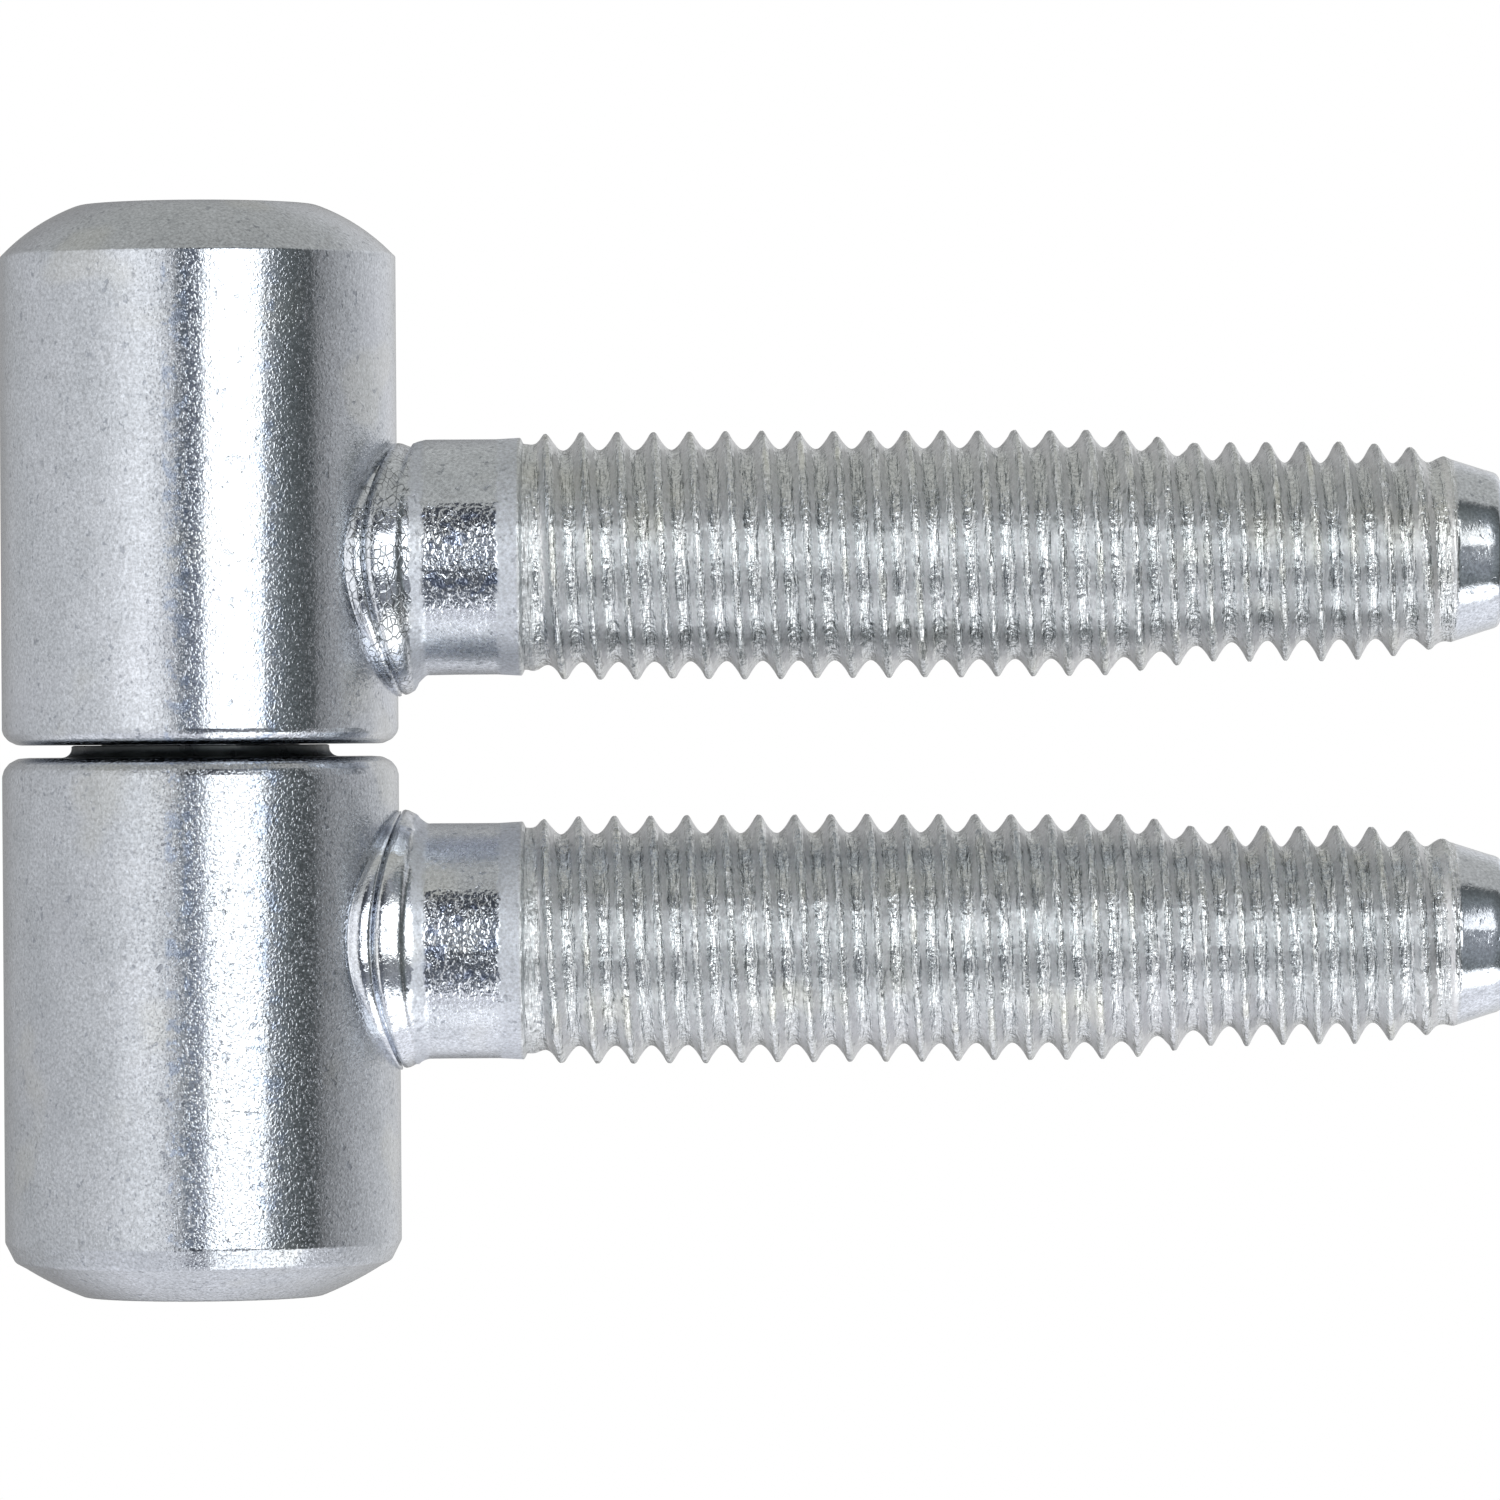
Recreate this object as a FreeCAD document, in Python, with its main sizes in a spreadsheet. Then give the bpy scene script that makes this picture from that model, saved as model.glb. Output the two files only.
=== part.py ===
"""Drill-in hinge: two turned barrels on one pin, each with a welded wood-screw shank.

Millimetres, +Z up along the hinge axis, +X along the shanks. The origin lies on the lower
shank's axis, where its thread begins. Each piece is drawn about the hinge axis. Barrels and
pin are drawn from the thrust plane, where the upper barrel rests on the lower barrel's raised
ring, and each shank from its own axis. The threads are right-handed, with few, plane facets.
"""

import FreeCAD
import Part
import Sketcher
import math
import os

SIZES = {
    "barrel_diameter": 16,
    "barrel_length": 21.75,
    "mating_edge_width": 0.7,
    "mating_edge_height": 0.5,
    "top_flat_diameter": 9.7,
    "top_crown_height": 2.1,
    "top_crown_radius": 8,
    "foot_flat_diameter": 9.7,
    "foot_crown_height": 1.4,
    "foot_crown_radius": 14,
    "foot_bevel_width": 0.4,
    "foot_bevel_height": 0.8,
    "thrust_ring_diameter": 10.4,
    "thrust_ring_height": 0.5,
    "thrust_ring_flank": 0.35,
    "pin_diameter": 8,
    "pin_above_thrust": 13,
    "pin_below_thrust": 14.5,
    "pin_chamfer": 0.8,
    "running_clearance": 0.05,
    "bore_end_space": 1,
    "drill_point_angle": 118,
    "shank_from_mating_face": 7.5,
    "neck_diameter": 9.5,
    "thread_diameter": 10,
    "thread_core_diameter": 8.5,
    "thread_pitch": 1.456,
    "thread_begin": 13,
    "thread_length": 24.3,
    "step_length": 3.2,
    "second_diameter": 8.9,
    "second_core_diameter": 7.1,
    "second_length": 7.5,
    "first_crest_width": 0.6,
    "run_out_length": 2.55,
    "run_out_diameter": 7.2,
    "facets_a_turn": 17,
    "upper_thread_turn": 158,
    "lower_thread_turn": 106,
    "point_base_diameter": 7.4,
    "point_diameter": 6.3,
    "point_length": 1.95,
    "point_chamfer": 0.25,
    "flash_diameter": 10.4,
    "flash_thickness": 1.1,
    "flash_saddle_easing": 5.5,
    "flash_edge_chamfer": 0.35,
    "seam_off_barrel": 0.1,
    "seam_width": 0.2,
}

LOWER_SHANK = "0"
THRUST_PLANE = "sizes.shank_from_mating_face + sizes.thrust_ring_height"
UPPER_SHANK = "2 * sizes.shank_from_mating_face + sizes.thrust_ring_height"
BARREL_RADIUS = "sizes.barrel_diameter / 2"
SADDLE_RADIUS = f"({BARREL_RADIUS} + sizes.flash_saddle_easing)"
THREAD_LENGTHS = {
    "Begin": "sizes.thread_begin",
    "Pitch": "sizes.thread_pitch",
    "FirstLength": "sizes.thread_length",
    "StepLength": "sizes.step_length",
    "SecondLength": "sizes.second_length",
    "RunOutLength": "sizes.run_out_length",
    "CrestRadius": "sizes.thread_diameter / 2",
    "CoreRadius": "sizes.thread_core_diameter / 2",
    "SecondCrestRadius": "sizes.second_diameter / 2",
    "SecondCoreRadius": "sizes.second_core_diameter / 2",
    "RunOutRadius": "sizes.run_out_diameter / 2",
}

doc = FreeCAD.newDocument("drill_in_hinge")


def make_sheet():
    """Write every driving dimension into a sheet, one row each, under its own name."""
    sheet = doc.addObject("Spreadsheet::Sheet", "sizes")
    for row, (name, value) in enumerate(SIZES.items(), start=1):
        sheet.set(f"A{row}", name)
        sheet.set(f"B{row}", str(value))
        sheet.setAlias(f"B{row}", name)
    doc.recompute()
    return sheet


def value_of(expression):
    """The number that an expression in the sheet's names gives."""
    return float(doc.sizes.evalExpression(expression))


def set_in_frame(item, label, height):
    """Move an object's own Z to the hinge axis, and raise it to the given height."""
    item.Label = label
    item.setExpression("Placement.Base.x", "-sizes.thread_begin")
    item.setExpression("Placement.Base.z", height)
    return item


def new_body(name, label, height):
    return set_in_frame(doc.addObject("PartDesign::Body", name), label, height)


def new_sketch(body, name, role):
    sketch = body.newObject("Sketcher::SketchObject", name)
    plane = next(o for o in body.Origin.OriginFeatures if o.Role == role)
    sketch.AttachmentSupport = [(plane, "")]
    sketch.MapMode = "FlatFace"
    return sketch


def arc_between(start, end, radius):
    """Arc that bulges to the right of the way from start to end, or left for a minus radius."""
    chord = end - start
    offset = math.copysign(math.sqrt(radius**2 - (chord.Length / 2) ** 2), radius)
    centre = (start + end) / 2 + FreeCAD.Vector(-chord.y, chord.x, 0).normalize() * offset
    circle = Part.Circle(centre, FreeCAD.Vector(0, 0, 1), abs(radius))
    ends = (start, end) if radius > 0 else (end, start)
    angles = [math.atan2(point.y - centre.y, point.x - centre.x) for point in ends]
    return Part.ArcOfCircle(circle, *angles)


def fix_corner(sketch, side, end, across, up):
    """Tie one end of a side to its two distances from the sketch's origin."""
    for expression, kind, axis in ((across, "DistanceX", -2), (up, "DistanceY", -1)):
        value = value_of(expression)
        if value == 0:
            sketch.addConstraint(Sketcher.Constraint("PointOnObject", side, end, axis))
            continue
        index = sketch.addConstraint(Sketcher.Constraint(kind, -1, 1, side, end, value))
        sketch.setExpression(f"Constraints[{index}]", expression)


def draw_outline(sketch, corners):
    """Closed outline, drawn counter-clockwise from expressions.

    A corner is (across, up), or (across, up, radius) where the side that leaves it is an arc:
    it bulges out of the outline, or into it where the radius is negative.
    """
    points = [FreeCAD.Vector(value_of(c[0]), value_of(c[1]), 0) for c in corners]
    ends = []
    for corner, start, end in zip(corners, points, points[1:] + points[:1]):
        if len(corner) == 2:
            sketch.addGeometry(Part.LineSegment(start, end), False)
            ends.append((1, 2))
            continue
        radius = value_of(corner[2])
        side = sketch.addGeometry(arc_between(start, end, radius), False)
        ends.append((1, 2) if radius > 0 else (2, 1))
        index = sketch.addConstraint(Sketcher.Constraint("Radius", side, abs(radius)))
        sketch.setExpression(f"Constraints[{index}]", f"abs({corner[2]})")
    for side, corner in enumerate(corners):
        after = (side + 1) % len(corners)
        meeting = Sketcher.Constraint("Coincident", side, ends[side][1], after, ends[after][0])
        sketch.addConstraint(meeting)
        fix_corner(sketch, side, ends[side][0], corner[0], corner[1])


def draw_circle(sketch, diameter):
    """Circle about the sketch's origin."""
    circle = Part.Circle(FreeCAD.Vector(), FreeCAD.Vector(0, 0, 1), value_of(diameter) / 2)
    side = sketch.addGeometry(circle, False)
    sketch.addConstraint(Sketcher.Constraint("Coincident", side, 3, -1, 1))
    index = sketch.addConstraint(Sketcher.Constraint("Diameter", side, value_of(diameter)))
    sketch.setExpression(f"Constraints[{index}]", diameter)


def turn(body, kind, name, corners, axis):
    """Revolution or Groove of an outline in the body's XZ plane, about one of its two axes."""
    sketch = new_sketch(body, f"{name}_outline", "XZ_Plane")
    draw_outline(sketch, corners)
    feature = body.newObject(f"PartDesign::{kind}", name)
    feature.Profile = sketch
    feature.ReferenceAxis = (sketch, [axis])
    feature.Angle = 360
    doc.recompute()
    return feature


def drill(body, name, diameter, depth, upward):
    """Blind hole with a drill point, about the hinge axis, from the thrust plane."""
    sketch = new_sketch(body, f"{name}_circle", "XY_Plane")
    draw_circle(sketch, diameter)
    hole = body.newObject("PartDesign::Hole", name)
    hole.Profile = sketch
    doc.recompute()
    hole.DepthType = "Dimension"
    hole.DrillPoint = "Angled"
    hole.Reversed = upward
    hole.setExpression("Diameter", diameter)
    hole.setExpression("Depth", depth)
    hole.setExpression("DrillPointAngle", "sizes.drill_point_angle")
    doc.recompute()
    return hole


def mating_edge(radius, face, inward):
    """Edge of a barrel's mating face, eased by two turned flats, from the face to the wall."""
    wide, high = "sizes.mating_edge_width", "sizes.mating_edge_height"
    middle = "(1 - sqrt(0.5))"
    return [
        (f"{radius} - {wide}", face),
        (f"{radius} - {middle} * {wide}", f"{face} {inward} {middle} * {high}"),
        (radius, f"{face} {inward} {high}"),
    ]


def upper_knuckle():
    """Door half's barrel: domed rim, flat top, and the blind bore that turns on the pin."""
    body = new_body("upper_knuckle", "Upper knuckle", THRUST_PLANE)
    radius = BARREL_RADIUS
    shoulder = "sizes.barrel_length - sizes.top_crown_height"
    outline = [
        ("0", "0"),
        *mating_edge(radius, "0", "+"),
        (radius, shoulder, "sizes.top_crown_radius"),
        ("sizes.top_flat_diameter / 2", "sizes.barrel_length"),
        ("0", "sizes.barrel_length"),
    ]
    turn(body, "Revolution", "upper_barrel", outline, "V_Axis")
    bore = "sizes.pin_diameter + 2 * sizes.running_clearance"
    depth = "sizes.pin_above_thrust + sizes.bore_end_space"
    drill(body, "pivot_bore", bore, depth, upward=True)
    return body


def lower_knuckle():
    """Frame half's barrel: raised thrust ring, shallow dome below, and the hole for the pin."""
    body = new_body("lower_knuckle", "Lower knuckle", THRUST_PLANE)
    radius = BARREL_RADIUS
    ring, flank = "sizes.thrust_ring_diameter / 2", "sizes.thrust_ring_flank"
    face = "-sizes.thrust_ring_height"
    foot = f"{face} - sizes.barrel_length"
    crown_edge = f"{foot} + sizes.foot_crown_height"
    outline = [
        ("0", foot),
        ("sizes.foot_flat_diameter / 2", foot, "sizes.foot_crown_radius"),
        (f"{radius} - sizes.foot_bevel_width", crown_edge),
        (radius, f"{crown_edge} + sizes.foot_bevel_height"),
        *reversed(mating_edge(radius, face, "-")),
        (f"{ring} + {flank}", face),
        (ring, f"{face} + {flank}"),
        (ring, "0"),
        ("0", "0"),
    ]
    turn(body, "Revolution", "lower_barrel", outline, "V_Axis")
    depth = "sizes.pin_below_thrust + sizes.bore_end_space"
    drill(body, "pin_seat", "sizes.pin_diameter", depth, upward=False)
    return body


def hinge_pin():
    """Plain pin, chamfered at both ends, pressed into the lower barrel."""
    body = new_body("hinge_pin", "Hinge pin", THRUST_PLANE)
    radius = "sizes.pin_diameter / 2"
    end_radius = f"{radius} - sizes.pin_chamfer"
    outline = [
        ("0", "-sizes.pin_below_thrust"),
        (end_radius, "-sizes.pin_below_thrust"),
        (radius, "sizes.pin_chamfer - sizes.pin_below_thrust"),
        (radius, "sizes.pin_above_thrust - sizes.pin_chamfer"),
        (end_radius, "sizes.pin_above_thrust"),
        ("0", "sizes.pin_above_thrust"),
    ]
    turn(body, "Revolution", "pin_bar", outline, "V_Axis")
    return body


def saddle_edge(thickness):
    """Where an arc of the saddle, so far off the barrel at its middle, leaves the barrel's width."""
    rise = f"sqrt({SADDLE_RADIUS}^2 - ({BARREL_RADIUS})^2)"
    return f"{thickness} - sizes.flash_saddle_easing + {rise}"


def cut_across(body, name, corners, kind):
    """Pad or Pocket of an outline in the body's XY plane, the barrel's width high."""
    sketch = new_sketch(body, f"{name}_outline", "XY_Plane")
    draw_outline(sketch, corners)
    feature = body.newObject(f"PartDesign::{kind}", name)
    feature.Profile = sketch
    feature.SideType = "Symmetric"
    feature.setExpression("Length", "sizes.barrel_diameter")
    doc.recompute()
    return feature


def add_flash(body):
    """Weld flash: a round collar with a saddle face, and the seam that follows the saddle."""
    half = BARREL_RADIUS
    face = saddle_edge("sizes.flash_thickness")
    block = [("0", f"-{half}"), (face, f"-{half}", SADDLE_RADIUS), (face, half), ("0", half)]
    cut_across(body, "flash_block", block, "Pad")
    rim = "sizes.flash_diameter / 2"
    waste = [("0", rim), ("sizes.thread_begin", rim)]
    waste += [("sizes.thread_begin", "sizes.barrel_diameter"), ("0", "sizes.barrel_diameter")]
    turn(body, "Groove", "flash_rim", waste, "H_Axis")

    rim = body.Tip
    edges = enumerate(rim.Shape.Edges, start=1)
    outer = [f"Edge{n}" for n, edge in edges if edge.BoundBox.XMin > 0]
    chamfer = body.newObject("PartDesign::Chamfer", "flash_edge")
    chamfer.Base = (rim, outer)
    chamfer.setExpression("Size", "sizes.flash_edge_chamfer")
    doc.recompute()
    near = saddle_edge("sizes.seam_off_barrel - sizes.seam_width")
    far = saddle_edge("sizes.seam_off_barrel")
    seam = [(near, f"-{half}"), (far, f"-{half}", SADDLE_RADIUS)]
    seam += [(far, half), (near, half, f"-{SADDLE_RADIUS}")]
    cut_across(body, "flash_seam", seam, "Pocket")


def add_shank(body):
    """Neck, first crest, core and cone point, turned as one bar. The thread is laid round it."""
    neck, base = "sizes.neck_diameter / 2", "sizes.point_base_diameter / 2"
    crest, crest_end = "sizes.thread_diameter / 2", "sizes.thread_begin + sizes.first_crest_width"
    tip, chamfer = "sizes.point_diameter / 2", "sizes.point_chamfer"
    core = "0.4 * sizes.second_core_diameter"
    stages = "sizes.thread_length + sizes.step_length + sizes.second_length"
    point_begin = f"sizes.thread_begin + {stages} + sizes.run_out_length"
    point_end = f"{point_begin} + sizes.point_length"
    outline = [
        ("0", "0"),
        (point_end, "0"),
        (point_end, f"{tip} - {chamfer}"),
        (f"{point_end} - {chamfer}", tip),
        (point_begin, base),
        (point_begin, core),
        (crest_end, core),
        (crest_end, crest),
        ("sizes.thread_begin", crest),
        ("sizes.thread_begin", neck),
        ("0", neck),
    ]
    turn(body, "Revolution", "shank_bar", outline, "H_Axis")


def seat_on_barrel(body):
    """Take the barrel's own cylinder out of the foot, so that foot and barrel meet face to face."""
    radius = BARREL_RADIUS
    barrel = [("0", f"-{radius}"), (radius, f"-{radius}"), (radius, radius), ("0", radius)]
    turn(body, "Groove", "barrel_seat", barrel, "V_Axis")


def on_line(rows, x):
    """Value at x on the line through rows of (x, value)."""
    for (x0, low), (x1, high) in zip(rows, rows[1:]):
        if x <= x1:
            return low + (high - low) * (x - x0) / (x1 - x0)
    return rows[-1][1]


class HelicalThread:
    """Solid thread of plane facets, laid between the helix of its crest and that of its root.

    It grows out of a ring half its depth high, steps down to a second stage, and fades into
    a ring at its far end.
    """

    def __init__(self, item, turn_expression):
        for name, expression in THREAD_LENGTHS.items():
            item.addProperty("App::PropertyLength", name, "Thread")
            item.setExpression(name, expression)
        item.addProperty("App::PropertyInteger", "Facets", "Thread")
        item.setExpression("Facets", "round(sizes.facets_a_turn)")
        item.addProperty("App::PropertyFloat", "Turn", "Thread")
        item.setExpression("Turn", turn_expression)
        item.Proxy = self

    def lines(self, item):
        """Rows of (x, radius) of the crest and of the root, from one end ring to the other."""
        begin = item.Begin.Value
        stages = (item.FirstLength, item.StepLength, item.SecondLength, item.RunOutLength)
        places = [begin, begin + item.Pitch.Value]
        for k in range(len(stages)):
            places.append(begin + sum(length.Value for length in stages[: k + 1]))
        ring = (item.CrestRadius.Value + item.CoreRadius.Value) / 2
        lines = []
        for first, second in (
            (item.CrestRadius, item.SecondCrestRadius),
            (item.CoreRadius, item.SecondCoreRadius),
        ):
            radii = [ring, first.Value, first.Value, second.Value, second.Value]
            lines.append(list(zip(places, [*radii, item.RunOutRadius.Value])))
        return lines

    def grid(self, item):
        """Corners of the facets: two rows a turn, one on the crest and one on the root."""
        crest, root = self.lines(item)
        begin, end = crest[0][0], crest[-1][0]
        pitch, sides = item.Pitch.Value, item.Facets
        rows = []
        for row in range(-4, 2 * math.ceil((end - begin) / pitch) + 4):
            corners = []
            for column in range(sides + 1):
                turns = row / 2 + column / sides + item.Turn / 360
                x = min(max(begin + pitch * turns, begin), end)
                off_crest = (x - begin) / pitch - column / sides - item.Turn / 360
                share = abs(2 * (off_crest - math.floor(off_crest)) - 1)
                low, high = on_line(root, x), on_line(crest, x)
                corners.append(self.corner(x, low + share * (high - low), column, sides))
            rows.append(corners)
        return rows

    @staticmethod
    def corner(x, radius, column, sides):
        angle = 2 * math.pi * (column % sides) / sides
        place = (x, radius * math.cos(angle), radius * math.sin(angle))
        return tuple(round(value, 6) for value in place)

    def execute(self, item):
        facets = []
        rows = self.grid(item)
        for near, far in zip(rows, rows[1:]):
            for a, b, c, d in zip(near, far, far[1:], near[1:]):
                facets += [(a, b, c), (a, c, d)]
        facets = [corners for corners in facets if len(set(corners)) == 3]
        facets += [rows[0][:-1], rows[-1][:-1]]
        faces = []
        for corners in facets:
            loop = [FreeCAD.Vector(*corner) for corner in (*corners, corners[0])]
            faces.append(Part.Face(Part.makePolygon(loop)))
        item.Shape = Part.makeSolid(Part.makeShell(faces))


def screw(name, label, height, turn_expression):
    """Welded wood-screw shank of one half: the turned bar with its flash, and the thread."""
    body = new_body(f"{name}_bar", f"{label} bar", height)
    add_flash(body)
    add_shank(body)
    seat_on_barrel(body)
    thread = doc.addObject("Part::FeaturePython", f"{name}_thread")
    HelicalThread(set_in_frame(thread, f"{label} thread", height), turn_expression)
    joined = doc.addObject("Part::Fuse", name)
    joined.Label = label
    joined.Base, joined.Tool = body, thread
    joined.Refine = False
    return joined


def check_and_write(pieces):
    """Stop on any object that failed, and write one file for each piece."""
    doc.recompute()
    for item in doc.Objects:
        if {"Invalid", "Error"} & set(item.State):
            raise RuntimeError(f"{item.Name} is {item.State}")
    os.makedirs("parts", exist_ok=True)
    for piece in pieces:
        shape = piece.Shape
        if shape.isNull() or not shape.isValid() or len(shape.Solids) != 1:
            raise RuntimeError(f"{piece.Name} isn't one valid solid")
        shape.Solids[0].exportStep(f"parts/{piece.Name}.step")
        print(piece.Name, round(shape.Volume, 1), shape.BoundBox)


make_sheet()
check_and_write(
    [
        upper_knuckle(),
        screw("upper_screw", "Upper screw", UPPER_SHANK, "sizes.upper_thread_turn"),
        lower_knuckle(),
        screw("lower_screw", "Lower screw", LOWER_SHANK, "sizes.lower_thread_turn"),
        hinge_pin(),
    ]
)
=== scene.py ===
"""Drill-in hinge: zinc-plated barrels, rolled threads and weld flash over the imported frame."""

import math

import bpy
import numpy as np
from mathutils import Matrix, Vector, noise


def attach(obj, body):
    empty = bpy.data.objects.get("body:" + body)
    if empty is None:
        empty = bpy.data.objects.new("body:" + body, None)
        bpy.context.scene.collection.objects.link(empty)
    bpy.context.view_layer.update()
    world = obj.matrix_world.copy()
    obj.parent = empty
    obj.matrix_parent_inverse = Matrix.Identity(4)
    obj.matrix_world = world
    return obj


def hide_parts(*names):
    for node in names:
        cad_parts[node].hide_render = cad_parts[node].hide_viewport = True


MM = 0.001
HINGE_X = -13.0
THRUST_Z = 8.0
SHANK_Z = {"upper": 15.5, "lower": 0.0}
MIDDLE_Z = 7.75
BARREL_R = 8.0
BARREL_SIDES = 240
WALL_X = HINGE_X + BARREL_R
FLASH_R = 5.2
NECK_R = 4.75
NECK_FOOT_X = -3.8
STEP_X = 25.2
PITCH = 1.4564
HALF_DRILL_POINT = math.radians(59)


# Mesh building, in millimetres


def mesh_object(name, points, faces, sharp=40, share=None):
    """Smooth-shaded mesh from points in millimetres, with its repeated points joined.

    A share given for each point, 1 on a thread's crest and 0 on its root, is kept for the shader.
    """
    points = np.asarray(points, float)
    keys, first, where = np.unique(
        np.round(points, 6), axis=0, return_index=True, return_inverse=True
    )
    where = where.reshape(-1)
    kept = []
    for face in faces:
        ring = [int(where[i]) for i in face]
        ring = [v for i, v in enumerate(ring) if v != ring[i - 1]]
        if len(set(ring)) == len(ring) and len(ring) > 2:
            kept.append(ring)
    mesh = bpy.data.meshes.new(name)
    mesh.from_pydata((keys * MM).tolist(), [], kept)
    if share is not None:
        layer = mesh.attributes.new("share", "FLOAT", "POINT")
        layer.data.foreach_set("value", np.asarray(share, float)[first])
    mesh.validate()
    mesh.shade_smooth()
    mesh.set_sharp_from_angle(angle=math.radians(sharp))
    obj = bpy.data.objects.new(name, mesh)
    bpy.context.scene.collection.objects.link(obj)
    return obj


def round_angles(count):
    return np.linspace(0, 2 * math.pi, count, endpoint=False)


def ring_faces(rings, sides):
    """Four-sided faces between neighbouring rings of points, as the numbers of their corners."""
    faces = []
    for k in range(rings - 1):
        here, ahead = k * sides, (k + 1) * sides
        for j in range(sides):
            n = (j + 1) % sides
            faces.append((here + j, ahead + j, ahead + n, here + n))
    return faces


def eased(corners, steps=5):
    """Outline with its (across, up, radius) corners rounded, and a point kept close by each."""
    out = []
    last = len(corners) - 1
    for i, corner in enumerate(corners):
        here = np.array(corner[:2], float)
        radius = corner[2] if len(corner) > 2 else 0
        if radius == 0 or i in (0, last):
            out.append(here)
            continue
        back = np.array(corners[i - 1][:2], float) - here
        ahead = np.array(corners[i + 1][:2], float) - here
        lengths = np.linalg.norm(back), np.linalg.norm(ahead)
        back, ahead = back / lengths[0], ahead / lengths[1]
        turn = math.pi - math.acos(float(np.clip(back @ ahead, -1, 1)))
        cut = min(radius * math.tan(turn / 2), 0.45 * min(lengths))
        if lengths[0] > 4 * cut:
            out.append(here + back * cut * 1.4)
        for s in np.linspace(0, 1, steps + 1):
            out.append(here + back * cut * (1 - s) ** 2 + ahead * cut * s**2)
        if lengths[1] > 4 * cut:
            out.append(here + ahead * cut * 1.4)
    return out


def arc(start, end, radius, steps):
    """Points after the start on the arc that bulges to the right of the way to the end."""
    start, end = np.array(start, float), np.array(end, float)
    chord = end - start
    length = np.linalg.norm(chord)
    left = np.array([-chord[1], chord[0]]) / length
    centre = (start + end) / 2 + left * math.sqrt(radius**2 - (length / 2) ** 2)
    first = math.atan2(*(start - centre)[::-1])
    last = math.atan2(*(end - centre)[::-1])
    last = first + (last - first) % (2 * math.pi)
    angles = np.linspace(first, last, steps + 1)[1:]
    return [(centre[0] + radius * math.cos(a), centre[1] + radius * math.sin(a)) for a in angles]


def lathe(name, outline):
    """Outline of (radius, height over the thrust plane) turned about the hinge axis."""
    points = [
        (HINGE_X + r * math.cos(a), r * math.sin(a), THRUST_Z + up)
        for r, up in outline
        for a in round_angles(BARREL_SIDES)
    ]
    faces = [(a, d, c, b) for a, b, c, d in ring_faces(len(outline), BARREL_SIDES)]
    return mesh_object(name, points, faces)


# Barrels


def upper_barrel():
    """Door half's barrel, from the bore's drill point round to the flat top."""
    bore, depth, top = 4.05, 14.0, 21.75
    outline = [(0.0, depth + bore / math.tan(HALF_DRILL_POINT)), (bore, depth)]
    outline += [(bore, 0.12), (bore + 0.12, 0.0), (6.7, 0.0), (7.2, 0.0)]
    edge = [(7.2, 0.0), (7.4, 0.02, 0.4), (7.74, 0.18, 0.5), (7.94, 0.42, 0.4), (8.0, 0.62, 0.1)]
    outline += eased(edge + [(8.0, 2.0)])[1:-1]
    outline += [(8.0, 6.0), (8.0, 19.2), (8.0, 19.5), (8.0, 19.62), (7.985, 19.68)]
    outline += arc((8.0, 19.65), (4.85, top), 8.0, 20)[:-1]
    outline += [(4.85, top - 0.008), (4.82, top), (4.6, top), (2.5, top), (0.0, top)]
    return lathe("upper_barrel", outline)


def lower_barrel():
    """Frame half's barrel: pin hole, thrust ring, wall, bevel and shallow dome.

    The ring's face lies 0.02 under the thrust plane, clear of the upper barrel's.
    """
    seat, depth, ring_face, foot = 4.0, 15.5, -0.02, -22.25
    outline = [(0.0, -depth - seat / math.tan(HALF_DRILL_POINT)), (seat, -depth), (seat, -0.1)]
    outline += [(seat + 0.1, ring_face), (5.1, ring_face), (5.2, -0.06), (5.2, -0.14)]
    for s in np.linspace(0, 1, 7):
        a = s * math.pi / 2
        outline.append((5.6 - 0.4 * math.cos(a), -0.14 - 0.36 * math.sin(a)))
    outline += [(5.75, -0.5), (6.9, -0.5)]
    edge = [(6.9, -0.5), (7.35, -0.53, 0.5), (7.72, -0.72, 0.5), (7.92, -0.98, 0.4)]
    outline += eased(edge + [(8.0, -1.25, 0.3), (8.0, -2.5)])[1:-1]
    outline += [(8.0, -8.0), (8.0, -19.5)]
    outline += eased([(8.0, -19.5), (8.0, -20.05, 0.25), (7.6, -20.85, 0.4), (7.2, -21.06)])[1:]
    dome = arc((4.85, foot), (7.2, -21.06), 14.0, 12)[::-1][1:]
    outline += dome + [(4.87, foot + 0.008), (4.7, foot), (2.5, foot), (0.0, foot)]
    barrel = lathe("lower_barrel", outline[::-1])
    # The thrust ring's faces in the gap take the second material, painted near black as shade
    shaded_ring_radius, shaded_ring_depth = 5.8, 0.6
    for face in barrel.data.polygons:
        middle = face.center / MM
        within_ring = math.hypot(middle.x - HINGE_X, middle.y) < shaded_ring_radius
        face.material_index = int(within_ring and middle.z > THRUST_Z - shaded_ring_depth)
    return barrel


# Shanks

COLUMNS = 144
THREAD_SPAN = (0.12, 37.55)
# Height of the thread's profile, at distances from its crest in pitches
CREST = [
    (0.0, 0.99), (0.025, 1.0), (0.05, 0.975), (0.075, 0.92), (0.105, 0.83), (0.14, 0.705),
    (0.185, 0.56), (0.25, 0.375), (0.31, 0.23), (0.36, 0.13), (0.41, 0.055), (0.455, 0.014),
    (0.5, 0.0),
]
# Radii of crest and root at distances from the neck's end
CREST_RADIUS = [
    (0.0, 4.9), (1.0, 4.94), (2.4, 5.0), (12.0, 5.0), (24.3, 4.95), (25.6, 4.68), (27.2, 4.43),
    (33.0, 4.42), (34.5, 4.34), (36.0, 4.17), (37.27, 3.84), (37.55, 3.7), (39.5, 3.1),
]
ROOT_RADIUS = [
    (0.0, 4.58), (0.36, 4.53), (1.55, 4.27), (3.0, 4.28), (24.0, 4.26), (26.0, 3.97), (27.5, 3.74),
    (29.2, 3.61), (35.0, 3.54), (36.6, 3.56), (37.3, 3.66), (37.55, 3.7), (39.5, 3.1),
]
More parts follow.
